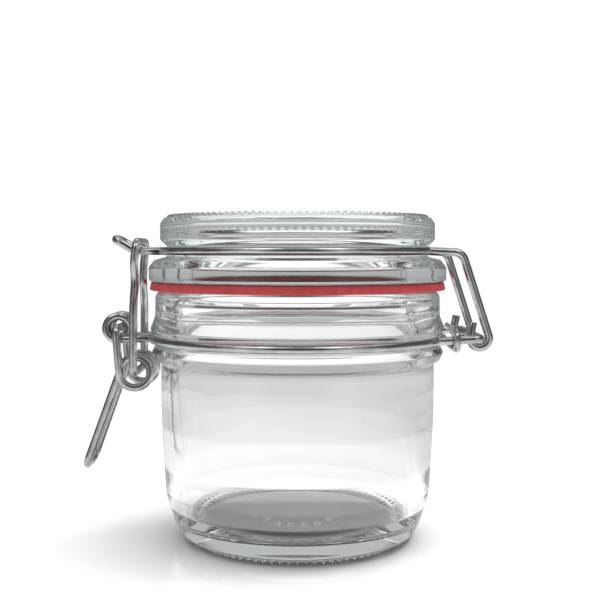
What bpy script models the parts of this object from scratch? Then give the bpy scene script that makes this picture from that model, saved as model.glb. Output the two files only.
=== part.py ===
"""Clip top jar: a glass jar whose hinged glass lid is held down on a rubber ring by a wire clip.

The jar stands on the floor at z = 0 with its axis on the world Z axis. The clip is at -X and the
hinge at +X. Sizes below are millimetres, and the helpers turn them into metres.
"""

from math import asin, cos, pi, radians, sin, tan

import bpy
from mathutils import Vector

MM = 0.001
GAP = 0.3

# Glass, all turned about the jar's axis. Each profile is a list of (radius, z) points.
SIDES_OF_A_TURN = 56
WALL_RADIUS = 39.15
INNER_RADIUS = 35.4
LEAN = 2.4
LEAN_HEIGHT = 38.0
LEAN_POWER = 1.3
TUCK = 4.2
TUCK_HEIGHT = 14.5
TUCK_POWER = 1.6
HEEL_LEVELS = (30.0, 22.0, 16.0, 12.0, 9.0, 6.5, 4.2, 2.6)
FOOT_RADIUS = 29.8
MOUTH_RADIUS = 35.2
FINISH_RADIUS = 40.9
RIM_Z = 70.6
NECK_GROOVE_RADIUS = 40.45
NECK_GROOVE_LOW = 54.9
NECK_GROOVE_HIGH = 58.6
FLOOR_PROFILE = [(0, 6.2), (28.2, 6.0), (31.0, 7.3), (33.0, 10.0), (34.2, 14.0), (35.1, 21.0)]
BORE_PROFILE = [(INNER_RADIUS, 30.0), (INNER_RADIUS, 50.0), (MOUTH_RADIUS, 55.0)]
RIM_PROFILE = [(MOUTH_RADIUS, 69.8), (35.8, RIM_Z), (38.0, RIM_Z), (39.6, 70.0)]
FINISH_PROFILE = [(FINISH_RADIUS, 68.3), (FINISH_RADIUS, 63.3), (41.3, 61.7)]
UPPER_BEAD_PROFILE = [(42.2, 59.9), (41.7, 58.75)]
GROOVE_PROFILE = [(NECK_GROOVE_RADIUS, NECK_GROOVE_HIGH), (NECK_GROOVE_RADIUS, NECK_GROOVE_LOW)]
LOWER_BEAD_PROFILE = [(41.1, 54.6), (41.5, 53.2), (41.0, 51.6)]
WALL_PROFILE = [(WALL_RADIUS, 50.5), (WALL_RADIUS, LEAN_HEIGHT)]
FOOT_PROFILE = [(33.0, 1.5), (31.0, 0.7), (FOOT_RADIUS, 0), (0, 0)]

# Rubber ring between the rim and the lid's flange
GASKET_INNER_RADIUS = 35.6
GASKET_TOP_RADIUS = 42.0
GASKET_BOTTOM_RADIUS = 42.5
GASKET_LOW = RIM_Z + GAP
GASKET_HIGH = GASKET_LOW + 2.0

# Lid glass
FLANGE_LOW = GASKET_HIGH + GAP
FLANGE_RADIUS = 42.6
LID_GROOVE_RADIUS = 37.4
TOP_BAND_RADIUS = 39.5
PLUG_RADIUS = 34.8
PLUG_LOW = 68.0
LID_HOLLOW_RADIUS = 31.6
LID_CEILING = 86.2
TOP_FACE_Z = 91.3
TOP_PROFILE = [(0, TOP_FACE_Z), (35.4, TOP_FACE_Z), (36.8, 92.1), (38.3, TOP_FACE_Z)]
TOP_BAND_PROFILE = [(TOP_BAND_RADIUS, 89.3), (TOP_BAND_RADIUS, 85.2), (39.0, 84.1)]
LID_GROOVE_PROFILE = [(LID_GROOVE_RADIUS, 83.1), (LID_GROOVE_RADIUS, 80.1)]
FLANGE_PROFILE = [(40.9, 79.2), (42.1, 78.1), (FLANGE_RADIUS, 76.6), (FLANGE_RADIUS, 75.2)]
FLANGE_FOOT_PROFILE = [(42.2, 74.0), (41.3, FLANGE_LOW), (PLUG_RADIUS, FLANGE_LOW)]
PLUG_PROFILE = [(PLUG_RADIUS, 70.0), (34.1, 68.9), (33.2, PLUG_LOW), (32.2, PLUG_LOW)]
HOLLOW_PROFILE = [(LID_HOLLOW_RADIUS, PLUG_LOW + 0.8), (LID_HOLLOW_RADIUS, LID_CEILING - 3.0)]
CEILING_PROFILE = [(29.2, LID_CEILING - 0.4), (0, LID_CEILING)]

# Wire
WIRE_RADIUS = 1.15
TOUCHING = 2 * WIRE_RADIUS + GAP
COIL_PITCH = TOUCHING + 0.05
BEND_RADIUS = 3.0
TIGHT_BEND = 1.8
LONG_BEND = 12.0
RING_STEP = radians(5.5)
COIL_STEP = radians(24)

# Neck wire: a ring in the jar's groove, a hinge bar at +X and two eyelets at -X
NECK_WIRE_RADIUS = 41.9
NECK_WIRE_Z = 57.1
HINGE_X = 50.1
HINGE_Z = 57.8
HINGE_BAR_HALF = 17.7
EYELET_X = -51.3
EYELET_Z = 59.8
EYELET_RADIUS = 3.3
EYELET_Y = 5.4
EYELET_TURNS = 1.4

# Lid wire: a ring in the lid's groove, a nose at -X and two hooked legs at +X
LID_WIRE_RADIUS = 38.85
LID_WIRE_Z = 81.8
LEG_Y = 15.0
LEG_TOP_X = 45.4
LEG_TOP_Z = 81.35
HOOK_RADIUS = TOUCHING
HOOK_START = radians(17.3)
HOOK_END = radians(-191.5)
HOOK_TAIL = 4.0
NOSE_Y = 4.7
NOSE_BEND_X = -46.4
NOSE_TIP_X = -52.1
NOSE_TIP_Z = 85.2

# Lever: pivots in the eyelets, and its two coils carry the link
LEVER_Y = EYELET_Y + TOUCHING
PIVOT_END_Y = 2.0
LINK_PIVOT_X = -46.0
LINK_PIVOT_Z = 47.4
LEVER_COIL_RADIUS = 4.27
LEVER_COIL_TURN = radians(342)
HANDLE_TIP_X = -60.0
HANDLE_TIP_Z = 20.8
HANDLE_Y = 6.2
HANDLE_END_BEND = 5.6

# Link: a closed loop from the lever's coils up over the nose
LINK_X = -45.9
LINK_TOP_X = -45.3
LINK_TOP_Z = LID_WIRE_Z + TOUCHING
LINK_FOOT_Y = LEVER_Y + TOUCHING
LINK_STRAIGHT_Z = 66.5
LINK_WAIST_Y = 7.5
LINK_WAIST_Z = 73.0
LINK_SHOULDER_Z = 78.6
LINK_TOP_Y = 9.5

# Tie: a thinner wire in the neck groove between the hinge bar's legs. Each end comes up from under
# a leg, laps over its outer side and lies back against the neck.
TIE_WIRE_RADIUS = 0.92
TIE_ANGLE = radians(16)
TIE_LAP_X = 43.3
TIE_LAP_RADIUS = WIRE_RADIUS + GAP + TIE_WIRE_RADIUS + 0.1
TIE_LAP_START = radians(105)
TIE_LAP_END = radians(290)
TIE_TAIL = (40.6, -15.0, 61.4)
TIE_CREST = (43.1, -16.4, 60.2)
TIE_LEAD = (41.2, -13.4, 56.6)


def clear_scene():
    for old in list(bpy.data.objects):
        bpy.data.objects.remove(old, do_unlink=True)


def principled(name, colour, roughness, metallic=0.0, transmission=0.0):
    material = bpy.data.materials.new(name)
    material.use_nodes = True
    shader = material.node_tree.nodes["Principled BSDF"]
    shader.inputs["Base Color"].default_value = (*colour, 1.0)
    shader.inputs["Roughness"].default_value = roughness
    shader.inputs["Metallic"].default_value = metallic
    shader.inputs["Transmission Weight"].default_value = transmission
    return material


def turned(name, profile, material, closed, home):
    """A ring or cup of revolution from (radius, z) points that run down the outer side."""
    count = len(profile)
    edges = [(i, i + 1) for i in range(count - 1)]
    if closed:
        edges.append((count - 1, 0))
    mesh = bpy.data.meshes.new(name)
    mesh.from_pydata([(r * MM, 0.0, z * MM) for r, z in profile], edges, [])
    obj = bpy.data.objects.new(name, mesh)
    home.objects.link(obj)
    screw = obj.modifiers.new("turn", "SCREW")
    screw.steps = SIDES_OF_A_TURN
    screw.render_steps = SIDES_OF_A_TURN
    screw.use_merge_vertices = True
    screw.merge_threshold = 0.00001
    screw.use_smooth_shade = True
    obj.data.materials.append(material)
    return obj


def rounded(corners, bends):
    """The points of a wire bent at its corners; bends gives each corner's radius, 0 for none."""
    points = [Vector(corners[0])]
    for before, here, after, bend in zip(corners, corners[1:], corners[2:], bends[1:]):
        here = Vector(here)
        back = Vector(before) - here
        ahead = Vector(after) - here
        turn = pi - back.angle(ahead)
        if bend == 0 or turn < radians(8):
            points.append(here)
            continue
        reach = min(bend * tan(turn / 2), 0.9 * back.length, 0.9 * ahead.length)
        radius = reach / tan(turn / 2)
        middle = (back.normalized() + ahead.normalized()).normalized()
        centre = here + middle * (radius / cos(turn / 2))
        spoke = here + back.normalized() * reach - centre
        onward = -back.normalized() * radius
        steps = max(2, round(turn / radians(26)))
        angles = [turn * i / steps for i in range(steps + 1)]
        points += [centre + spoke * cos(a) + onward * sin(a) for a in angles]
    points.append(Vector(corners[-1]))
    return points


def mirrored(half):
    """A whole wire from its front half, which ends at the middle of its span."""
    return half + [Vector((p.x, -p.y, p.z)) for p in reversed(half)]


def wire(name, points, material, home, origin, cyclic=False, radius=WIRE_RADIUS):
    """A round wire along points in world millimetres, with its object's origin at origin."""
    curve = bpy.data.curves.new(name, "CURVE")
    curve.dimensions = "3D"
    curve.bevel_depth = radius * MM
    curve.bevel_resolution = 2
    curve.use_fill_caps = True
    spline = curve.splines.new("POLY")
    spline.points.add(len(points) - 1)
    start = Vector(origin)
    for spot, point in zip(spline.points, points):
        spot.co = (*((Vector(point) - start) * MM), 1.0)
    spline.use_cyclic_u = cyclic
    spline.use_smooth = True
    obj = bpy.data.objects.new(name, curve)
    obj.location = start * MM
    curve.materials.append(material)
    home.objects.link(obj)
    return obj


def arc_points(radius, z, first, last):
    """Points on a level ring, both ends left out."""
    steps = max(2, round(abs(last - first) / RING_STEP))
    turns = [first + (last - first) * i / steps for i in range(1, steps)]
    return [(radius * cos(a), radius * sin(a), z) for a in turns]


def heel_radius(z):
    """The wall leans in over its lower half and tucks under towards the foot."""
    lean = LEAN * max(0, 1 - z / LEAN_HEIGHT) ** LEAN_POWER
    tuck = TUCK * max(0, 1 - z / TUCK_HEIGHT) ** TUCK_POWER
    return WALL_RADIUS - lean - tuck


def jar_body(material, home):
    inside = FLOOR_PROFILE + BORE_PROFILE + RIM_PROFILE
    neck = FINISH_PROFILE + UPPER_BEAD_PROFILE + GROOVE_PROFILE + LOWER_BEAD_PROFILE
    heel = [(heel_radius(z), z) for z in HEEL_LEVELS]
    profile = inside + neck + WALL_PROFILE + heel + FOOT_PROFILE
    return turned("jar_body", profile, material, False, home)


def gasket(material, home):
    profile = [(GASKET_INNER_RADIUS, GASKET_HIGH), (GASKET_TOP_RADIUS, GASKET_HIGH)]
    profile += [(GASKET_BOTTOM_RADIUS, GASKET_LOW), (GASKET_INNER_RADIUS, GASKET_LOW)]
    return turned("gasket", profile, material, True, home)


def lid_glass(material, home):
    outside = TOP_PROFILE + TOP_BAND_PROFILE + LID_GROOVE_PROFILE + FLANGE_PROFILE
    below = FLANGE_FOOT_PROFILE + PLUG_PROFILE + HOLLOW_PROFILE + CEILING_PROFILE
    return turned("lid_glass", outside + below, material, False, home)


def neck_wire(material, home):
    """One wire: eyelet, half ring, hinge bar, half ring, eyelet."""
    turns = round(2 * pi * EYELET_TURNS / COIL_STEP)
    coil = []
    for i in range(turns + 1):
        swept = COIL_STEP * (turns - i)
        angle = -pi / 2 - swept
        y = -EYELET_Y + COIL_PITCH * swept / (2 * pi)
        x = EYELET_X + EYELET_RADIUS * cos(angle)
        coil.append((x, y, EYELET_Z + EYELET_RADIUS * sin(angle)))
    ring_start = -pi + asin(EYELET_Y / NECK_WIRE_RADIUS)
    ring_end = -asin(HINGE_BAR_HALF / NECK_WIRE_RADIUS)
    start = (NECK_WIRE_RADIUS * cos(ring_start), -EYELET_Y, NECK_WIRE_Z)
    finish = (NECK_WIRE_RADIUS * cos(ring_end), -HINGE_BAR_HALF, NECK_WIRE_Z)
    ring = arc_points(NECK_WIRE_RADIUS, NECK_WIRE_Z, ring_start, ring_end)
    corners = coil + [start] + ring + [finish, (HINGE_X, -HINGE_BAR_HALF, HINGE_Z), (HINGE_X, 0, HINGE_Z)]
    bends = [0] * len(coil) + [BEND_RADIUS] + [0] * len(ring) + [BEND_RADIUS, TIGHT_BEND, 0]
    half = rounded(corners, bends)[:-1]
    return wire("neck_wire", mirrored(half), material, home, (0, 0, 0))


def hinge_tie(material, home):
    """A short wire in the neck groove, lapped once round each leg of the hinge bar."""
    leg_z = (NECK_WIRE_Z + HINGE_Z) / 2
    steps = round((TIE_LAP_END - TIE_LAP_START) / COIL_STEP)
    lap = []
    for i in range(steps + 1):
        angle = TIE_LAP_START + (TIE_LAP_END - TIE_LAP_START) * i / steps
        y = -HINGE_BAR_HALF + TIE_LAP_RADIUS * cos(angle)
        lap.append((TIE_LAP_X, y, leg_z + TIE_LAP_RADIUS * sin(angle)))
    ring = arc_points(NECK_WIRE_RADIUS, NECK_WIRE_Z, -TIE_ANGLE, 0.0)
    corners = [TIE_TAIL, TIE_CREST] + lap + [TIE_LEAD] + ring
    bends = [0, TIGHT_BEND] + [0] * len(lap) + [TIGHT_BEND] + [0] * len(ring)
    half = rounded(corners, bends)
    return wire("hinge_tie", mirrored(half), material, home, (0, 0, 0), radius=TIE_WIRE_RADIUS)


def lid_wire(material, home):
    """One wire: hook, leg, half ring, nose, half ring, leg, hook."""
    hook = []
    steps = round((HOOK_START - HOOK_END) / COIL_STEP)
    for i in range(steps + 1):
        angle = HOOK_END + (HOOK_START - HOOK_END) * i / steps
        x = HINGE_X + HOOK_RADIUS * cos(angle)
        hook.append((x, -LEG_Y, HINGE_Z + HOOK_RADIUS * sin(angle)))
    end_x, _, end_z = hook[0]
    tail_x = end_x + HOOK_TAIL * sin(HOOK_END)
    tail = (tail_x, -LEG_Y, end_z - HOOK_TAIL * cos(HOOK_END))
    leg_top = (LEG_TOP_X, -LEG_Y, LEG_TOP_Z)
    ring_start = -asin(LEG_Y / LID_WIRE_RADIUS)
    ring_end = -pi + asin(NOSE_Y / LID_WIRE_RADIUS)
    start = (LID_WIRE_RADIUS * cos(ring_start), -LEG_Y, LID_WIRE_Z)
    finish = (LID_WIRE_RADIUS * cos(ring_end), -NOSE_Y, LID_WIRE_Z)
    ring = arc_points(LID_WIRE_RADIUS, LID_WIRE_Z, ring_start, ring_end)
    nose = [(NOSE_BEND_X, -NOSE_Y, LID_WIRE_Z), (NOSE_TIP_X, -NOSE_Y, NOSE_TIP_Z)]
    corners = [tail] + hook + [leg_top, start] + ring + [finish] + nose + [(NOSE_TIP_X, 0, NOSE_TIP_Z)]
    bends = [0] * (1 + len(hook)) + [BEND_RADIUS, BEND_RADIUS] + [0] * len(ring)
    bends += [BEND_RADIUS, TIGHT_BEND, BEND_RADIUS, 0]
    half = rounded(corners, bends)[:-1]
    return wire("lid_wire", mirrored(half), material, home, (HINGE_X, 0, HINGE_Z))


def lever(material, home):
    """One wire: pivot end, leg, coil, handle, coil, leg, pivot end."""
    coil = []
    steps = round(LEVER_COIL_TURN / COIL_STEP)
    for i in range(steps + 1):
        swept = LEVER_COIL_TURN * i / steps
        y = -LEVER_Y + COIL_PITCH * swept / (2 * pi)
        x = LINK_PIVOT_X + LEVER_COIL_RADIUS * cos(pi + swept)
        coil.append((x, y, LINK_PIVOT_Z + LEVER_COIL_RADIUS * sin(pi + swept)))
    pivot = [(EYELET_X, -PIVOT_END_Y, EYELET_Z), (EYELET_X, -LEVER_Y, EYELET_Z)]
    handle = [(HANDLE_TIP_X, -HANDLE_Y, HANDLE_TIP_Z), (HANDLE_TIP_X, 0, HANDLE_TIP_Z)]
    corners = pivot + coil + handle
    bends = [0, TIGHT_BEND] + [0] * len(coil) + [HANDLE_END_BEND, 0]
    half = rounded(corners, bends)[:-1]
    return wire("lever", mirrored(half), material, home, (EYELET_X, 0, EYELET_Z))


def link(material, home):
    """A closed loop, joined at the middle of its foot."""
    corners = [(LINK_PIVOT_X, 0, LINK_PIVOT_Z), (LINK_PIVOT_X, -LINK_FOOT_Y, LINK_PIVOT_Z)]
    corners += [(LINK_X, -LINK_FOOT_Y, LINK_STRAIGHT_Z), (LINK_X, -LINK_WAIST_Y, LINK_WAIST_Z)]
    corners += [(LINK_X, -LINK_TOP_Y, LINK_SHOULDER_Z), (LINK_TOP_X, -LINK_TOP_Y, LINK_TOP_Z)]
    corners += [(LINK_TOP_X, 0, LINK_TOP_Z)]
    bends = [0, TIGHT_BEND, LONG_BEND, TIGHT_BEND, TIGHT_BEND, BEND_RADIUS, 0]
    half = rounded(corners, bends)[1:-1]
    return wire("link", mirrored(half), material, home, (LINK_PIVOT_X, 0, LINK_PIVOT_Z), True)


def main():
    clear_scene()
    home = bpy.data.collections.new("clip_top_jar")
    bpy.context.scene.collection.children.link(home)
    glass = principled("clear_glass", (0.93, 0.96, 0.95), 0.02, transmission=1.0)
    rubber = principled("red_rubber", (0.42, 0.045, 0.04), 0.5)
    steel = principled("bright_wire", (0.62, 0.63, 0.64), 0.22, metallic=1.0)
    jar_body(glass, home)
    neck_wire(steel, home)
    hinge_tie(steel, home)
    lid_glass(glass, home)
    gasket(rubber, home)
    lid_wire(steel, home)
    clip = lever(steel, home)
    loop = link(steel, home)
    loop.parent = clip
    loop.location = loop.location - clip.location


main()
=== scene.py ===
"""A clip top jar in clear pressed glass, closed, standing on a white table.

The jar's own front, with the clip, is on the -X side and its hinge is on the +X side, while the
camera looks along +Y. Lengths are in millimetres in each section and become metres as the meshes
are made.
"""

from collections import namedtuple
from math import asin, cos, hypot, pi, radians, sin, tan

import bmesh
import bpy
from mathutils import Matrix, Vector


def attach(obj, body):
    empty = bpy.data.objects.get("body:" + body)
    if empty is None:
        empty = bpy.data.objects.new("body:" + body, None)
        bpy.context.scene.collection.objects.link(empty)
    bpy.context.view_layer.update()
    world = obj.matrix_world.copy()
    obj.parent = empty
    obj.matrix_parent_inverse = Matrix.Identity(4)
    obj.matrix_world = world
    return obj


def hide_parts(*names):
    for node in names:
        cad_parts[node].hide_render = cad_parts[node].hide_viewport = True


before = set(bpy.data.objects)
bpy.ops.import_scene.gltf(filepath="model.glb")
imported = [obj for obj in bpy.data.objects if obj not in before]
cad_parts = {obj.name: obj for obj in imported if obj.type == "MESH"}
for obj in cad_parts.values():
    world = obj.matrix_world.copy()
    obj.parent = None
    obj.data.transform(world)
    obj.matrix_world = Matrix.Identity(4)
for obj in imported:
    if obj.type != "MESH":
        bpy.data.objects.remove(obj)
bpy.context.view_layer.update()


# ---------------------------------------------------------------------------------------------
# Jar body. One piece of clear soda-lime glass, pressed and blown in a mould: a straight wall, a
# heel that tucks in to the foot, and a neck with two beads that keep the neck wire in its groove.
# ---------------------------------------------------------------------------------------------
MM = 0.001
WALL_OUTSIDE = 39.15
WALL_INSIDE = 35.4
WALL_TOP = 50.3
NECK_OUTSIDE = 40.85
GROOVE_RADIUS = 40.45
RIM_HEIGHT = 70.6
RIM_INSIDE = 35.2
FLOOR_HEIGHT = 6.1
FLOOR_RISE = 0.1
LEAN = 2.4
LEAN_HEIGHT = 38.0
LEAN_POWER = 1.3
TUCK = 4.2
TUCK_HEIGHT = 14.5
TUCK_POWER = 1.6
HEEL_END = 2.4
HEEL_STEPS = (34, 30, 26, 22.5, 19.5, 17, 15, 13.2, 11.6, 10.2, 9, 7.9, 6.9, 6, 5.2, 4.4, 3.7, 3)
FOOT_NOTCHES = 82
NOTCH_TOP = 1.8
NOTCH_FADE = 0.4
NOTCH_INNER = 28.4
NOTCH_IN = 0.9
NOTCH_UP = 0.6
NOTCH_SHARPNESS = 1.5
DOT_RING = 14.3
DOTS = 24
DOT_WIDTH = 1.5
DOT_HEIGHT = 0.3
DOT_ARC = 0.2
DOT_FULLNESS = 0.7
JAR_SIDES = FOOT_NOTCHES * 5
JAR_RUN = 2.2
FOOT_RUN = 0.45
OUTLINE_STEP = radians(12)
NEARLY_STRAIGHT = radians(1.5)
HALF_RUN = 0.49
FEWEST_STEPS = 3
ON_AXIS = 0.001
GLASS_TINT = (0.99, 0.995, 0.993)
GLASS_SHADE = 0.985
GLASS_DEPTH_COLOUR = (0.78, 0.845, 0.85, 1)


def heel_radius(height):
    """The wall leans in over its lower half and tucks under towards the foot."""
    lean = LEAN * max(0, 1 - height / LEAN_HEIGHT) ** LEAN_POWER
    tuck = TUCK * max(0, 1 - height / TUCK_HEIGHT) ** TUCK_POWER
    return WALL_OUTSIDE - lean - tuck


def close_rows(middle, step, count):
    """Places one step apart and centred on the middle, close enough to carry a fine relief."""
    return [middle + step * (i - (count - 1) / 2) for i in range(count)]


def round_bend(before, here, after, bend, step):
    """The points of a bend of this radius at a corner, about one step of angle apart.

    A bend takes up less than half of the run on each side, so that two bends never meet.
    """
    back = before - here
    ahead = after - here
    turn = pi - back.angle(ahead)
    if bend == 0 or turn < NEARLY_STRAIGHT:
        return [here]
    reach = min(bend * tan(turn / 2), HALF_RUN * back.length, HALF_RUN * ahead.length)
    radius = reach / tan(turn / 2)
    inward = (back.normalized() + ahead.normalized()).normalized()
    centre = here + inward * (radius / cos(turn / 2))
    spoke = here + back.normalized() * reach - centre
    onward = -back.normalized() * radius
    count = max(FEWEST_STEPS, round(turn / step))
    angles = [turn * i / count for i in range(count + 1)]
    return [centre + spoke * cos(angle) + onward * sin(angle) for angle in angles]


def eased(corners, longest, flat=0.0):
    """An outline from (radius, height, bend) corners, in runs that are about this long at most.

    Where flat is given, a run between corners gets a point this far from each end, so that the
    glass shades flat there.
    """
    spots = [Vector(corner[:2]) for corner in corners]
    bends = [corner[2] for corner in corners]
    points = [spots[0]]
    for before, here, after, bend in zip(spots, spots[1:], spots[2:], bends[1:]):
        points += round_bend(before, here, after, bend, OUTLINE_STEP)
    points.append(spots[-1])
    fine = [points[0]]
    for end in points[1:]:
        start = fine[-1]
        run = (end - start).length
        parts = max(1, round(run / longest))
        shares = [i / parts for i in range(1, parts)]
        if flat and run > 4 * flat:
            shares = [flat / run] + shares + [1 - flat / run]
        fine += [start.lerp(end, share) for share in shares + [1]]
    return fine


def set_down(name, mesh):
    """Makes an object of a finished mesh and puts it in the scene."""
    data = bpy.data.meshes.new(name)
    mesh.to_mesh(data)
    mesh.free()
    piece = bpy.data.objects.new(name, data)
    bpy.context.scene.collection.objects.link(piece)
    return piece


def turned(name, outline, sides, relief=None, closed=False):
    """A solid of revolution; relief says how far out and up a point stands from the outline."""
    mesh = bmesh.new()
    rows = []
    for point in outline:
        if point.x < ON_AXIS:
            rows.append([mesh.verts.new((0, 0, point.y * MM))] * sides)
            continue
        row = []
        for i in range(sides):
            angle = 2 * pi * i / sides
            out, up = relief(angle, point.x, point.y) if relief else (0, 0)
            radius = point.x + out
            spot = Vector((radius * cos(angle), radius * sin(angle), point.y + up))
            row.append(mesh.verts.new(spot * MM))
        rows.append(row)
    pairs = list(zip(rows, rows[1:]))
    if closed:
        pairs.append((rows[-1], rows[0]))
    for upper, lower in pairs:
        for i in range(sides):
            j = (i + 1) % sides
            corners = dict.fromkeys([upper[i], upper[j], lower[j], lower[i]])
            mesh.faces.new(list(corners)).smooth = True
    bmesh.ops.recalc_face_normals(mesh, faces=mesh.faces)
    return set_down(name, mesh)


def round_dot(distance, width):
    """The rise of a small round dot, from 1 at its middle to 0 at its edge."""
    return max(0, 1 - (2 * distance / width) ** 2) ** DOT_FULLNESS


def foot_and_floor(angle, radius, height):
    """The notches that grip the mould round the foot, and the arc of plain dots on the floor."""
    if height < NOTCH_TOP and radius > NOTCH_INNER:
        notch = (0.5 + 0.5 * cos(FOOT_NOTCHES * angle)) ** NOTCH_SHARPNESS
        notch *= min(1, (NOTCH_TOP - height) / NOTCH_FADE) * min(1, radius - NOTCH_INNER)
        return -NOTCH_IN * notch, NOTCH_UP * notch
    on_floor = height > FLOOR_HEIGHT / 2
    near_camera = -sin(angle) > DOT_ARC
    if on_floor and near_camera and abs(radius - DOT_RING) < DOT_WIDTH:
        along = (angle * DOTS / (2 * pi) % 1 - 0.5) * 2 * pi * DOT_RING / DOTS
        return 0, DOT_HEIGHT * round_dot(hypot(along, radius - DOT_RING), DOT_WIDTH)
    return 0, 0


def wire_up(tree, node, sockets):
    """Gives each named socket of a node a fixed value or the output of another node."""
    for name, value in sockets.items():
        if isinstance(value, bpy.types.NodeSocket):
            tree.links.new(value, node.inputs[name])
        else:
            node.inputs[name].default_value = value


def add(tree, kind, sockets=None, **settings):
    """A new shader node with its settings made and its sockets filled."""
    node = tree.nodes.new("ShaderNode" + kind)
    for word, value in settings.items():
        setattr(node, word, value)
    wire_up(tree, node, sockets or {})
    return node


def ramp(tree, value, stops):
    """A colour that runs through (place, colour) stops as the value goes from 0 to 1."""
    node = add(tree, "ValToRGB", {"Fac": value})
    while len(node.color_ramp.elements) < len(stops):
        node.color_ramp.elements.new(0.5)
    for element, (place, colour) in zip(node.color_ramp.elements, stops):
        element.position = place
        element.color = (*colour, 1)
    return node.outputs["Color"]


def spread(tree, value, low, high, start=0.0, end=1.0):
    """Goes from low to high while the value goes from start to end."""
    sockets = {"Value": value, "From Min": start, "From Max": end, "To Min": low, "To Max": high}
    return add(tree, "MapRange", sockets).outputs["Result"]


def cloudy(tree, place, scale, detail):
    """An uneven value over the surface, with this many patches to the unit of place."""
    sockets = {"Vector": place, "Scale": scale, "Detail": detail}
    return add(tree, "TexNoise", sockets).outputs["Fac"]


def bumps(tree, height, strength, distance):
    """A surface that rises and falls with the height, by this distance in millimetres."""
    sockets = {"Height": height, "Strength": strength, "Distance": distance * MM}
    return add(tree, "Bump", sockets).outputs["Normal"]


def new_finish(name):
    """A material with its node tree and the shader in it."""
    material = bpy.data.materials.new(name)
    material.use_nodes = True
    tree = material.node_tree
    return material, tree, tree.nodes["Principled BSDF"]


def clear_glass(name):
    """Clear pressed glass: faint waves in the surface, and green-grey where it is thick."""
    material, tree, shader = new_finish(name)
    place = add(tree, "TexCoord").outputs["Object"]
    waves = cloudy(tree, place, scale=90.0, detail=1.5)
    shaded = [channel * GLASS_SHADE for channel in GLASS_TINT]
    wire_up(tree, shader, {
        "Transmission Weight": 1.0,
        "IOR": 1.5,
        "Base Color": ramp(tree, waves, [(0, shaded), (1, GLASS_TINT)]),
        "Roughness": spread(tree, waves, 0.005, 0.01),
        "Normal": bumps(tree, waves, strength=0.14, distance=0.1),
    })
    depth = add(tree, "VolumeAbsorption", {"Color": GLASS_DEPTH_COLOUR, "Density": 12.0})
    wire_up(tree, tree.nodes["Material Output"], {"Volume": depth.outputs["Volume"]})
    return material


floor = [(0, FLOOR_HEIGHT + FLOOR_RISE, 0)]
floor += [(radius, FLOOR_HEIGHT, 0) for radius in close_rows(DOT_RING, step=0.2, count=13)]
floor += [(28.0, FLOOR_HEIGHT, 0), (28.5, 5.95, 0.3), (28.9, 6.4, 0.3)]
inside = [(31.4, 6.9, 1.5), (33.2, 10.2, 4.0), (34.2, 14.0, 6.0), (35.05, 21.0, 10.0)]
inside += [(WALL_INSIDE, 32.0, 20.0), (WALL_INSIDE, 50, 0)]
bore = [(35.15, 61.5, 3.0), (34.9, 64.6, 1.5), (35.15, 66.7, 1.0), (34.9, 67.4, 0.6)]
bore += [(RIM_INSIDE, 68.6, 1.0), (35.0, 69.5, 0.6), (RIM_INSIDE, RIM_HEIGHT, 0.5)]
neck = [(NECK_OUTSIDE, RIM_HEIGHT, 2.2), (NECK_OUTSIDE, 63.4, 3.0)]
neck += [(42.25, 59.7, 0.8), (41.6, 58.6, 0.4), (GROOVE_RADIUS, 58.4, 0.6)]
neck += [(GROOVE_RADIUS, 54.9, 0.6), (41.0, 54.7, 0.4), (41.8, 53.2, 1.0), (40.8, 51.0, 1.0)]
wall = [(WALL_OUTSIDE, WALL_TOP, 1.0), (WALL_OUTSIDE, LEAN_HEIGHT, 0)]
wall += [(heel_radius(height), height, 0) for height in HEEL_STEPS]
heel_end = (heel_radius(HEEL_END), HEEL_END, 0)
foot = [(33.0, 1.6, 1.2), (31.2, 0.85, 0.4), (30.0, 0, 0.6), (27.9, 0, 0.5), (27.2, 0.45, 0.8)]
underside = [(25.0, 0.46, 0), (0, 0.55, 0)]
jar_outline = eased(floor + inside + bore + neck + wall + [heel_end], JAR_RUN)
jar_outline += eased([heel_end] + foot + underside[:1], FOOT_RUN)[1:]
jar_outline += eased(underside, JAR_RUN)[1:]
jar = turned("jar_glass_body", jar_outline, JAR_SIDES, foot_and_floor)
jar.data.materials.append(clear_glass("jar_glass_clear"))
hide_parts("jar_body")
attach(jar, "jar")


# ---------------------------------------------------------------------------------------------
# Neck wire. One length of bright drawn steel wire in the groove of the neck. It makes the hinge
# bar at the back of the jar and two sprung eyelets at the front, in which the lever turns.
# ---------------------------------------------------------------------------------------------
WIRE_RADIUS = 1.15
CLEARANCE = 0.3
TOUCHING = 2 * WIRE_RADIUS + CLEARANCE
COIL_SPARE = 0.05
COIL_PITCH = TOUCHING + COIL_SPARE
NECK_WIRE_RING = 41.9
NECK_WIRE_HEIGHT = 57.1
HINGE_X = 50.1
HINGE_HEIGHT = 57.8
HINGE_BAR_HALF = 17.7
EYELET_X = -51.3
EYELET_HEIGHT = 59.8
EYELET_RADIUS = 3.3
EYELET_Y = 5.4
EYELET_TURNS = 1.4
SHARP_BEND = 1.8
EASY_BEND = 3.0
WIRE_SIDES = 20
WIRE_STEP = radians(9)
RING_STEP = radians(2.5)
CUT_EDGE = 0.18
MARK_LENGTH = 10
STEEL_DARK = (0.48, 0.485, 0.49)
STEEL_LIGHT = (0.72, 0.725, 0.73)

Station = namedtuple("Station", "spot way side radius along twist")


def bent(corners, bends):
    """The middle line of a wire bent at its corners; a bend of 0 leaves a corner as it is."""
    corners = [Vector(corner) for corner in corners]
    points = [corners[0]]
    for before, here, after, bend in zip(corners, corners[1:], corners[2:], bends[1:]):
        points += round_bend(before, here, after, bend, WIRE_STEP)
    points.append(corners[-1])
    return points


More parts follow.
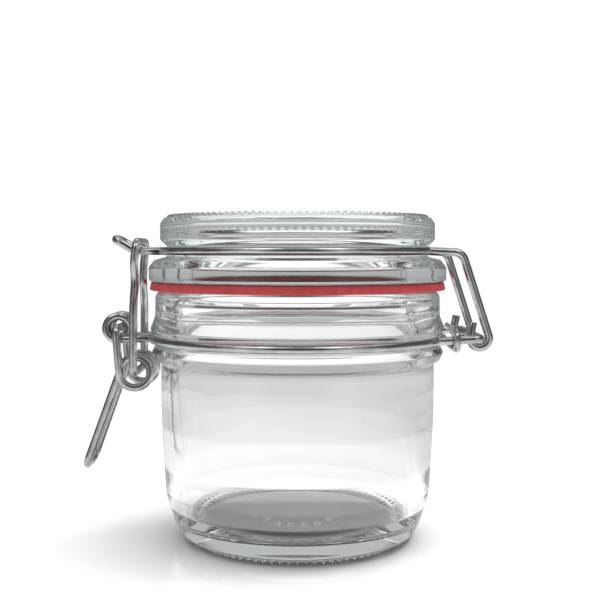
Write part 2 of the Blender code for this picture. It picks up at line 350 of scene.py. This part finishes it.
def both_halves(half):
    """The whole of a wire that is the same on both sides of the jar's middle plane.

    A point on the plane only leads up to it, and is left out.
    """
    near = [point for point in half if point.y]
    return near + [Vector((point.x, -point.y, point.z)) for point in reversed(near)]


def level_arc(radius, height, first, last):
    """Points along a level ring between two angles, without its ends."""
    count = max(2, round(abs(last - first) / RING_STEP))
    angles = [first + (last - first) * i / count for i in range(1, count)]
    return [(radius * cos(angle), radius * sin(angle), height) for angle in angles]


def coiled(x, height, radius, angles, sideways):
    """Points round an axis along Y, from one angle to another, while Y goes between two places."""
    count = round(abs(angles[1] - angles[0]) / WIRE_STEP)
    points = []
    for i in range(count + 1):
        angle = angles[0] + (angles[1] - angles[0]) * i / count
        y = sideways[0] + (sideways[1] - sideways[0]) * i / count
        points.append((x + radius * cos(angle), y, height + radius * sin(angle)))
    return points


def wire_ways(points, closed):
    """The direction of a wire at each point of its middle line."""
    last = len(points) - 1
    ways = []
    for i in range(len(points)):
        before = points[i - 1] if closed else points[max(i - 1, 0)]
        after = points[(i + 1) % len(points)] if closed else points[min(i + 1, last)]
        ways.append((after - before).normalized())
    return ways


def wire_stations(points, closed, radius):
    """Where a wire's rings of points stand, which way they face and how far along they are.

    The sideways direction is carried along without a twist. A closed wire gets back the small
    twist that its first ring needs to meet its last, and an open one gets a broken edge at
    each cut end.
    """
    ways = wire_ways(points, closed)
    sides = [ways[0].orthogonal().normalized()]
    for before, way in zip(ways, ways[1:]):
        sides.append((before.rotation_difference(way) @ sides[-1]).normalized())
    slip = 0.0
    if closed:
        home = (ways[-1].rotation_difference(ways[0]) @ sides[-1]).normalized()
        slip = home.angle(sides[0]) * (1 if home.cross(sides[0]).dot(ways[0]) > 0 else -1)
    stations = []
    along = 0.0
    for i, (spot, way, side) in enumerate(zip(points, ways, sides)):
        if i:
            along += (spot - points[i - 1]).length
        stations.append(Station(spot, way, side, radius, along, slip * i / len(points)))
    if not closed:
        first, last = stations[0], stations[-1]
        stations[0] = first._replace(spot=first.spot + first.way * CUT_EDGE)
        stations[-1] = last._replace(spot=last.spot - last.way * CUT_EDGE)
        stations.insert(0, first._replace(radius=radius - CUT_EDGE))
        stations.append(last._replace(radius=radius - CUT_EDGE))
    return stations


def drawn_wire(name, points, closed=False, radius=WIRE_RADIUS):
    """A round wire along its middle line, with u along it for the marks of the drawing die."""
    stations = wire_stations(points, closed, radius)
    mesh = bmesh.new()
    along_wire = mesh.loops.layers.uv.new("along_wire")
    rows = []
    for station in stations:
        up = station.way.cross(station.side)
        row = []
        for k in range(WIRE_SIDES):
            angle = 2 * pi * k / WIRE_SIDES + station.twist
            spoke = (station.side * cos(angle) + up * sin(angle)) * station.radius
            row.append(mesh.verts.new((station.spot + spoke) * MM))
        rows.append(row)
    spans = [(i, i + 1) for i in range(len(rows) - 1)]
    if closed:
        spans.append((len(rows) - 1, 0))
    for i, j in spans:
        start = stations[i].along
        end = stations[j].along if j else start + (points[0] - points[-1]).length
        for k in range(WIRE_SIDES):
            n = (k + 1) % WIRE_SIDES
            face = mesh.faces.new((rows[i][k], rows[i][n], rows[j][n], rows[j][k]))
            face.smooth = True
            marks = ((start, k), (start, k + 1), (end, k + 1), (end, k))
            for loop, (u, v) in zip(face.loops, marks):
                loop[along_wire].uv = (u / MARK_LENGTH, v / WIRE_SIDES)
    if not closed:
        mesh.faces.new(rows[0][::-1])
        mesh.faces.new(rows[-1])
    bmesh.ops.recalc_face_normals(mesh, faces=mesh.faces)
    return set_down(name, mesh)


steel, tree, shader = new_finish("bright_drawn_steel")
along_wire = add(tree, "UVMap", uv_map="along_wire").outputs["UV"]
stretch = add(tree, "Mapping", {"Vector": along_wire, "Scale": (1.2, 26.0, 1.0)}).outputs["Vector"]
draw_marks = cloudy(tree, stretch, scale=1.0, detail=4.0)
handling = cloudy(tree, add(tree, "TexCoord").outputs["Object"], scale=260.0, detail=3.0)
wire_up(tree, shader, {
    "Metallic": 1.0,
    "Base Color": ramp(tree, handling, [(0.3, STEEL_DARK), (0.75, STEEL_LIGHT)]),
    "Roughness": spread(tree, draw_marks, 0.12, 0.3),
    "Normal": bumps(tree, draw_marks, strength=0.25, distance=0.05),
})

eyelet_end = -pi / 2
eyelet_start = eyelet_end - 2 * pi * EYELET_TURNS
eyelet_sideways = (COIL_PITCH * EYELET_TURNS - EYELET_Y, -EYELET_Y)
eyelet = coiled(EYELET_X, EYELET_HEIGHT, EYELET_RADIUS, (eyelet_start, eyelet_end), eyelet_sideways)
ring_start = -pi + asin(EYELET_Y / NECK_WIRE_RING)
ring_end = -asin(HINGE_BAR_HALF / NECK_WIRE_RING)
ring_in = (NECK_WIRE_RING * cos(ring_start), -EYELET_Y, NECK_WIRE_HEIGHT)
ring_out = (NECK_WIRE_RING * cos(ring_end), -HINGE_BAR_HALF, NECK_WIRE_HEIGHT)
ring = level_arc(NECK_WIRE_RING, NECK_WIRE_HEIGHT, ring_start, ring_end)
hinge_bar = [(HINGE_X, -HINGE_BAR_HALF, HINGE_HEIGHT), (HINGE_X, 0, HINGE_HEIGHT)]
corners = eyelet + [ring_in] + ring + [ring_out] + hinge_bar
bends = [0] * len(eyelet) + [EASY_BEND] + [0] * len(ring) + [EASY_BEND, SHARP_BEND, 0]
neck_wire = drawn_wire("neck_wire_ring", both_halves(bent(corners, bends)))
neck_wire.data.materials.append(steel)
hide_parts("neck_wire")
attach(neck_wire, "jar")


# ---------------------------------------------------------------------------------------------
# Hinge tie. A short length of thinner steel wire in the neck groove behind the jar. Each end comes
# up from under a leg of the hinge bar, laps over its outer side and lies back against the neck.
# ---------------------------------------------------------------------------------------------
TIE_WIRE_RADIUS = 0.92
TIE_ANGLE = radians(16)
TIE_LAP_X = 43.3
TIE_CLEARANCE = 0.4
TIE_LAP_RADIUS = WIRE_RADIUS + TIE_CLEARANCE + TIE_WIRE_RADIUS
TIE_LAP_START = radians(105)
TIE_LAP_END = radians(290)
TIE_TAIL = (40.6, -15.0, 61.4)
TIE_CREST = (43.1, -16.4, 60.2)
TIE_LEAD = (41.2, -13.4, 56.6)

leg_height = (NECK_WIRE_HEIGHT + HINGE_HEIGHT) / 2
steps = round((TIE_LAP_END - TIE_LAP_START) / WIRE_STEP)
lap = []
for i in range(steps + 1):
    angle = TIE_LAP_START + (TIE_LAP_END - TIE_LAP_START) * i / steps
    y = -HINGE_BAR_HALF + TIE_LAP_RADIUS * cos(angle)
    lap.append((TIE_LAP_X, y, leg_height + TIE_LAP_RADIUS * sin(angle)))
ring = level_arc(NECK_WIRE_RING, NECK_WIRE_HEIGHT, -TIE_ANGLE, 0.0)
corners = [TIE_TAIL, TIE_CREST] + lap + [TIE_LEAD] + ring
bends = [0, SHARP_BEND] + [0] * len(lap) + [SHARP_BEND] + [0] * len(ring)
tie = drawn_wire("hinge_tie_wire", both_halves(bent(corners, bends)), radius=TIE_WIRE_RADIUS)
tie.data.materials.append(steel)
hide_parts("hinge_tie")
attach(tie, "jar")


# ---------------------------------------------------------------------------------------------
# Lid glass. A thick pressed lid: a flange that bears on the rubber ring, a plug below it that
# drops into the mouth, a groove for the lid wire, and a beaded edge round the flat top.
# ---------------------------------------------------------------------------------------------
TOP_HEIGHT = 91.3
LID_RADIUS = 39.5
LID_GROOVE_RADIUS = 37.4
FLANGE_RADIUS = 42.7
FLANGE_UNDERSIDE = 73.2
PLUG_RADIUS = 34.8
PLUG_LOW = 68.0
BEADS = 115
BEAD_RING = 36.8
BEAD_WIDTH = 1.9
BEAD_HEIGHT = 0.8
DIMPLE_RING_HEIGHT = 87.3
DIMPLE_WIDTH = 0.8
DIMPLE_DEPTH = 0.08
LID_SIDES = BEADS * 6
LID_RUN = 5.0
LID_FLAT = 0.3


def beaded(angle, radius, height):
    """A row of round beads on the rim of the lid's top, and one of fine dimples round its side."""
    turn = (angle * BEADS / (2 * pi) % 1 - 0.5) * 2 * pi / BEADS
    if height > TOP_HEIGHT - BEAD_HEIGHT and abs(radius - BEAD_RING) < BEAD_WIDTH:
        from_middle = hypot(turn * BEAD_RING, radius - BEAD_RING)
        return 0, BEAD_HEIGHT * round_dot(from_middle, BEAD_WIDTH)
    if radius > LID_RADIUS - DIMPLE_WIDTH and abs(height - DIMPLE_RING_HEIGHT) < DIMPLE_WIDTH:
        from_middle = hypot(turn * radius, height - DIMPLE_RING_HEIGHT)
        return -DIMPLE_DEPTH * round_dot(from_middle, DIMPLE_WIDTH), 0
    return 0, 0


top = [(0, TOP_HEIGHT, 0)]
top += [(radius, TOP_HEIGHT, 0) for radius in close_rows(BEAD_RING, step=0.22, count=11)]
top += [(38.5, 91.15, 0.8), (LID_RADIUS, 89.6, 1.2)]
side_rows = close_rows(DIMPLE_RING_HEIGHT, step=-0.125, count=9)
side = [(LID_RADIUS, height, 0) for height in side_rows]
side += [(LID_RADIUS, 85.0, 1.2), (LID_GROOVE_RADIUS, 83.0, 0.9), (LID_GROOVE_RADIUS, 80.2, 0.8)]
flange = [(41.1, 79.3, 0.8), (FLANGE_RADIUS, 77.2, 1.4), (FLANGE_RADIUS, FLANGE_UNDERSIDE, 0.9)]
flange += [(41.0, FLANGE_UNDERSIDE, 0.2), (PLUG_RADIUS, 74.1, 0.4)]
plug = [(PLUG_RADIUS, 70.2, 1.4), (33.4, PLUG_LOW, 1.0), (31.6, PLUG_LOW, 0.8)]
hollow = [(31.7, 87.6, 2.6), (0, 87.8, 0)]
lid_outline = eased(top + side + flange + plug + hollow, LID_RUN, LID_FLAT)
lid = turned("lid_glass_pressed", lid_outline, LID_SIDES, beaded)
lid.data.materials.append(clear_glass("lid_glass_clear"))
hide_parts("lid_glass")
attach(lid, "lid")


# ---------------------------------------------------------------------------------------------
# Rubber ring. A flat ring of soft red natural rubber, cut from a moulded tube, stretched over the
# plug of the lid and pressed between the flange and the rim.
# ---------------------------------------------------------------------------------------------
RUBBER_LOW = 70.75
RUBBER_HIGH = 73.05
RUBBER_LIP = 73.6
RUBBER_INSIDE = 35.3
RUBBER_OUTSIDE = 42.5
RUBBER_RUN = 0.8
RUBBER_SIDES = 288
RUBBER_DARK = (0.44, 0.044, 0.052)
RUBBER_LIGHT = (0.56, 0.068, 0.076)
# Painted light: the rubber glows faintly in its own red, in place of light that would reach it
# through the glass.
RUBBER_PAINTED_GLOW = 0.1

outer = [(41.0, RUBBER_HIGH, 0), (42.0, RUBBER_HIGH, 0.35), (RUBBER_OUTSIDE, RUBBER_LOW, 0.35)]
inner = [(RUBBER_INSIDE, RUBBER_LOW, 0.3), (RUBBER_INSIDE, RUBBER_LIP, 0.3), (40.9, RUBBER_HIGH, 0)]
gasket = turned("rubber_ring", eased(outer + inner, RUBBER_RUN), RUBBER_SIDES, closed=True)
rubber, tree, shader = new_finish("red_rubber_soft")
grain = cloudy(tree, add(tree, "TexCoord").outputs["Object"], scale=420.0, detail=5.0)
red = ramp(tree, grain, [(0.3, RUBBER_DARK), (0.7, RUBBER_LIGHT)])
# The emission is painted light, a faint red glow that stands in for light through the glass.
wire_up(tree, shader, {
    "Base Color": red,
    "Emission Color": red,
    "Emission Strength": RUBBER_PAINTED_GLOW,
    "Roughness": spread(tree, grain, 0.42, 0.62),
    "Normal": bumps(tree, grain, strength=0.3, distance=0.06),
})
gasket.data.materials.append(rubber)
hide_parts("gasket")
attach(gasket, "lid")


# ---------------------------------------------------------------------------------------------
# Lid wire. One length of steel wire in the lid's groove, bent into a nose at the front for the
# link to catch, and into two legs at the back that hook round the hinge bar.
# ---------------------------------------------------------------------------------------------
LID_WIRE_RING = 38.85
LID_WIRE_HEIGHT = 81.8
LEG_Y = 15.0
LEG_TOP_X = 45.4
LEG_TOP_HEIGHT = 81.35
HOOK_START = radians(17.3)
HOOK_END = radians(-191.5)
HOOK_TAIL = 4.0
NOSE_Y = 4.7
NOSE_BEND_X = -46.4
NOSE_TIP_X = -52.1
NOSE_TIP_HEIGHT = 85.2

hook = coiled(HINGE_X, HINGE_HEIGHT, TOUCHING, (HOOK_END, HOOK_START), (-LEG_Y, -LEG_Y))
tail = (hook[0][0] + HOOK_TAIL * sin(HOOK_END), -LEG_Y, hook[0][2] - HOOK_TAIL * cos(HOOK_END))
leg_top = (LEG_TOP_X, -LEG_Y, LEG_TOP_HEIGHT)
ring_start = -asin(LEG_Y / LID_WIRE_RING)
ring_end = -pi + asin(NOSE_Y / LID_WIRE_RING)
ring_in = (LID_WIRE_RING * cos(ring_start), -LEG_Y, LID_WIRE_HEIGHT)
ring_out = (LID_WIRE_RING * cos(ring_end), -NOSE_Y, LID_WIRE_HEIGHT)
ring = level_arc(LID_WIRE_RING, LID_WIRE_HEIGHT, ring_start, ring_end)
nose = [(NOSE_BEND_X, -NOSE_Y, LID_WIRE_HEIGHT), (NOSE_TIP_X, -NOSE_Y, NOSE_TIP_HEIGHT)]
nose += [(NOSE_TIP_X, 0, NOSE_TIP_HEIGHT)]
corners = [tail] + hook + [leg_top, ring_in] + ring + [ring_out] + nose
bends = [0] * (1 + len(hook)) + [EASY_BEND, EASY_BEND] + [0] * len(ring)
bends += [EASY_BEND, SHARP_BEND, EASY_BEND, 0]
lid_wire = drawn_wire("lid_wire_bail", both_halves(bent(corners, bends)))
lid_wire.data.materials.append(steel)
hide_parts("lid_wire")
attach(lid_wire, "lid")


# ---------------------------------------------------------------------------------------------
# Lever. The thumb lever: one steel wire that turns in the eyelets, coils once on each side to
# carry the link, and runs down to a rounded end that the thumb lifts.
# ---------------------------------------------------------------------------------------------
LEVER_Y = EYELET_Y + TOUCHING
PIVOT_END_Y = 2.0
LINK_PIVOT_X = -46.0
LINK_PIVOT_HEIGHT = 47.4
LEVER_COIL_RADIUS = 4.27
LEVER_COIL_TURNS = 0.95
HANDLE_X = -60.0
HANDLE_LOW = 20.8
HANDLE_Y = 6.2
HANDLE_BEND = 5.6

coil_angles = (pi, pi + 2 * pi * LEVER_COIL_TURNS)
coil_sideways = (-LEVER_Y, COIL_PITCH * LEVER_COIL_TURNS - LEVER_Y)
coil = coiled(LINK_PIVOT_X, LINK_PIVOT_HEIGHT, LEVER_COIL_RADIUS, coil_angles, coil_sideways)
pivot = [(EYELET_X, -PIVOT_END_Y, EYELET_HEIGHT), (EYELET_X, -LEVER_Y, EYELET_HEIGHT)]
handle = [(HANDLE_X, -HANDLE_Y, HANDLE_LOW), (HANDLE_X, 0, HANDLE_LOW)]
bends = [0, SHARP_BEND] + [0] * len(coil) + [HANDLE_BEND, 0]
lever = drawn_wire("thumb_lever_wire", both_halves(bent(pivot + coil + handle, bends)))
lever.data.materials.append(steel)
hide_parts("lever")
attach(lever, "lever")


# ---------------------------------------------------------------------------------------------
# Link. A closed loop of steel wire, butt welded at the middle of its foot. The foot turns inside
# the lever's coils and the top catches over the nose of the lid wire.
# ---------------------------------------------------------------------------------------------
LINK_X = -45.9
LINK_TOP_X = -45.3
LINK_TOP_Y = 9.5
LINK_TOP_HEIGHT = LID_WIRE_HEIGHT + TOUCHING
LINK_FOOT_Y = LEVER_Y + TOUCHING
LINK_SIDES = [(10.6, 66.5), (7.5, 73.0), (9.5, 78.6)]
LINK_BENDS = [12.0, 6.0, 6.0]

corners = [(LINK_PIVOT_X, 0, LINK_PIVOT_HEIGHT), (LINK_PIVOT_X, -LINK_FOOT_Y, LINK_PIVOT_HEIGHT)]
corners += [(LINK_X, -y, height) for y, height in LINK_SIDES]
corners += [(LINK_TOP_X, -LINK_TOP_Y, LINK_TOP_HEIGHT), (LINK_TOP_X, 0, LINK_TOP_HEIGHT)]
bends = [0, SHARP_BEND] + LINK_BENDS + [EASY_BEND, 0]
link = drawn_wire("link_loop", both_halves(bent(corners, bends)), closed=True)
link.data.materials.append(steel)
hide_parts("link")
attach(link, "link")


# ---------------------------------------------------------------------------------------------
# Table. A smooth white table top that the jar stands on. It is brighter to the eye than through
# the glass or mirrored, so that the ground stays white and the glass keeps its grey lines.
# ---------------------------------------------------------------------------------------------
TABLE_RADIUS = 330.0
TABLE_SIDES = 96
TABLE_WHITE = (0.90, 0.90, 0.90, 1)
# Painted shade: the table is this much darker where it is seen mirrored.
MIRRORED_DIM = 0.7
# Painted shade: the table is lighter on the left and darker on the right, through the glass and
# mirrored.
SHADE_LEFT = 0.95
SHADE_RIGHT = 0.62
SHADE_REACH = 120.0
STRIP_REACH = 40.0
# Painted light: glow at each distance from the middle of the table, to the eye and through the
# glass.
# It fades out round the jar's foot, which paints its shadow there; through the glass it pools near
# the foot.
GLOW = [(0, 0), (30, 0), (34, 0.15), (45, 0.3), (60, 0.42), (110, 0.55), (330, 0.55)]
GLOW_IN_GLASS = [(0, 0), (30, 0), (35, 0.25), (50, 0.4), (80, 0.28), (110, 0.2), (150, 0.24)]
GLOW_IN_GLASS += [(200, 0.18), (260, 0.12), (330, 0.1)]
# Painted light: more glow through the glass from a strip behind the middle, at each share of its
# reach.
STRIP_BEHIND = [(0, 0), (0.32, 0), (0.4, 0.25), (0.7, 0.3), (0.76, 0), (1, 0)]


def greys(stops, whole=1.0):
    """Ramp stops from (place, level) pairs, with each place as a share of the whole."""
    return [(place / whole, (level, level, level)) for place, level in stops]


def maths(tree, operation, first, second, clamp=False):
    """The outcome of one operation on two values, kept from 0 to 1 if clamped."""
    node = add(tree, "Math", {0: first, 1: second}, operation=operation, use_clamp=clamp)
    return node.outputs["Value"]


def choose(tree, share, first, second, blend="MIX"):
    """The first colour where the share is 0 and the second, or its blend, where it is 1."""
    sockets = {"Factor": share, "A": first, "B": second}
    return add(tree, "Mix", sockets, data_type="RGBA", blend_type=blend).outputs["Result"]


def only_mirrored(tree, path):
    """1 for a ray that was mirrored last, and 0 for one that passed through glass."""
    return maths(tree, "SUBTRACT", path["Is Glossy Ray"], path["Is Transmission Ray"], clamp=True)


mesh = bmesh.new()
bmesh.ops.create_circle(mesh, cap_ends=True, segments=TABLE_SIDES, radius=TABLE_RADIUS * MM)
table = set_down("table_top", mesh)
white, tree, shader = new_finish("white_table")
path = add(tree, "LightPath").outputs
place = add(tree, "TexCoord").outputs["Object"]
away = add(tree, "VectorMath", {0: place}, operation="LENGTH").outputs["Value"]
reach = spread(tree, away, 0.0, 1.0, end=TABLE_RADIUS * MM)
# Painted light and shadow: the glow is low round the jar's foot and brighter further out.
glow = ramp(tree, reach, greys(GLOW, whole=TABLE_RADIUS))
glow_in_glass = ramp(tree, reach, greys(GLOW_IN_GLASS, whole=TABLE_RADIUS))
across = add(tree, "SeparateXYZ", {"Vector": place}).outputs
# Painted light: a strip of glow behind the middle of the table, seen through the glass.
behind = spread(tree, across["Y"], 0.0, 1.0, end=STRIP_REACH * MM)
strip = ramp(tree, behind, greys(STRIP_BEHIND))
# Painted shade: darker where the table is seen mirrored.
dim = spread(tree, only_mirrored(tree, path), 1.0, MIRRORED_DIM)
lit = maths(tree, "MULTIPLY", maths(tree, "ADD", glow_in_glass, strip), dim)
# Painted shade: the table darkens from left to right.
shade = spread(tree, across["X"], SHADE_LEFT, SHADE_RIGHT, -SHADE_REACH * MM, SHADE_REACH * MM)
grey = maths(tree, "MULTIPLY", shade, dim)
wire_up(tree, shader, {
    "Base Color": choose(tree, path["Is Camera Ray"], grey, TABLE_WHITE),
    "Roughness": 0.03,
    "Emission Color": (1, 1, 1, 1),
    "Emission Strength": choose(tree, path["Is Camera Ray"], lit, glow),
})
table.data.materials.append(white)


# ---------------------------------------------------------------------------------------------
# Room, lamp and camera. A soft white room with a lamp high on the right; the steel and the glass
# mirror its dark walls and bright windows. The camera stands level with the lid wire.
# ---------------------------------------------------------------------------------------------
ROOM_WHITE = (1.02, 1.02, 1.02, 1)
# Brightness at each angle above the horizon: through the glass, mirrored, and as soft light.
BEHIND = [(-90, 0.7), (-17, 0.72), (-13, 0.52), (-8.8, 0.52), (-7, 0.74), (-3, 0.5), (2, 0.44)]
BEHIND += [(8, 0.5), (12, 0.58), (19, 0.58), (25, 0.1), (52, 0.1), (60, 1.1), (90, 1.1)]
MIRRORED = [(-90, 0.8), (-12, 0.7), (-4, 0.4), (6, 0.3), (20, 0.22), (44, 0.2), (50, 1.7)]
MIRRORED += [(66, 1.7), (72, 0.35), (90, 0.3)]
OVERHEAD = [(-90, 0.7), (2, 0.6), (20, 0.52), (25, 0.3), (52, 0.3), (60, 1.9), (90, 2.1)]
# Brightness of the mirrored room at each angle round it.
WINDOWS = [(0, 0.5), (20, 0.35), (42, 1.6), (56, 1.6), (72, 0.3), (108, 0.3), (124, 1.6)]
WINDOWS += [(138, 1.6), (160, 0.35), (180, 0.5), (225, 0.3), (270, 1.0), (315, 0.3), (360, 0.5)]
LAMP_POWER = 5.0
LAMP_SIZE = 500.0
LAMP_PLACE = (350.0, 150.0, 750.0)
LAMP_AIM_HEIGHT = 40.0
CAMERA_DISTANCE = 300.0
CAMERA_HEIGHT = 81.8
CAMERA_NEAREST = 10.0
SENSOR_WIDTH = 36.0
FOCAL_PIXELS = 1035.0
PICTURE_PIXELS = 600.0
AXIS_PIXEL = 297.5
HORIZON_PIXEL = 251.0
# Light passes many glass surfaces on its way through a closed jar.
LIGHT_STEPS = 40


def room(tree, height, levels):
    """The brightness of the room at each angle above the horizon, in degrees."""
    stops = [(0.5 + 0.5 * sin(radians(angle)), level) for angle, level in levels]
    return ramp(tree, height, greys(stops))


world = bpy.data.worlds.new("white_room")
bpy.context.scene.world = world
world.use_nodes = True
tree = world.node_tree
path = add(tree, "LightPath").outputs
way = add(tree, "TexCoord").outputs["Generated"]
rise = add(tree, "SeparateXYZ", {"Vector": way}).outputs["Z"]
height = spread(tree, rise, 0.0, 1.0, start=-1.0)
compass = add(tree, "TexGradient", {"Vector": way}, gradient_type="RADIAL").outputs["Fac"]
windows = ramp(tree, compass, greys(WINDOWS, whole=360))
mirrored = choose(tree, 1.0, room(tree, height, MIRRORED), windows, blend="MULTIPLY")
light = choose(tree, only_mirrored(tree, path), room(tree, height, BEHIND), mirrored)
light = choose(tree, path["Is Diffuse Ray"], light, room(tree, height, OVERHEAD))
light = choose(tree, path["Is Camera Ray"], light, ROOM_WHITE)
wire_up(tree, tree.nodes["Background"], {"Color": light})

lamp_data = bpy.data.lights.new("key_lamp", "AREA")
lamp_data.energy = LAMP_POWER
lamp_data.size = LAMP_SIZE * MM
lamp = bpy.data.objects.new("key_lamp", lamp_data)
lamp.location = [length * MM for length in LAMP_PLACE]
lamp_aim = Vector((0, 0, LAMP_AIM_HEIGHT * MM)) - lamp.location
lamp.rotation_euler = lamp_aim.to_track_quat("-Z", "Y").to_euler()
lamp.visible_glossy = False
lamp.visible_transmission = False
bpy.context.scene.collection.objects.link(lamp)

camera_data = bpy.data.cameras.new("camera")
camera_data.sensor_width = SENSOR_WIDTH
camera_data.lens = FOCAL_PIXELS * SENSOR_WIDTH / PICTURE_PIXELS
camera_data.shift_x = (PICTURE_PIXELS / 2 - AXIS_PIXEL) / PICTURE_PIXELS
camera_data.shift_y = (HORIZON_PIXEL - PICTURE_PIXELS / 2) / PICTURE_PIXELS
camera_data.clip_start = CAMERA_NEAREST * MM
camera = bpy.data.objects.new("camera", camera_data)
camera.location = (0, -CAMERA_DISTANCE * MM, CAMERA_HEIGHT * MM)
camera.rotation_euler = (pi / 2, 0, 0)
bpy.context.scene.collection.objects.link(camera)
bpy.context.scene.camera = camera
bpy.context.scene.view_settings.view_transform = "Standard"
bpy.context.scene.cycles.max_bounces = LIGHT_STEPS
bpy.context.scene.cycles.transmission_bounces = LIGHT_STEPS
bpy.context.scene.cycles.glossy_bounces = LIGHT_STEPS
bpy.context.scene.cycles.caustics_refractive = False
bpy.context.scene.cycles.caustics_reflective = False
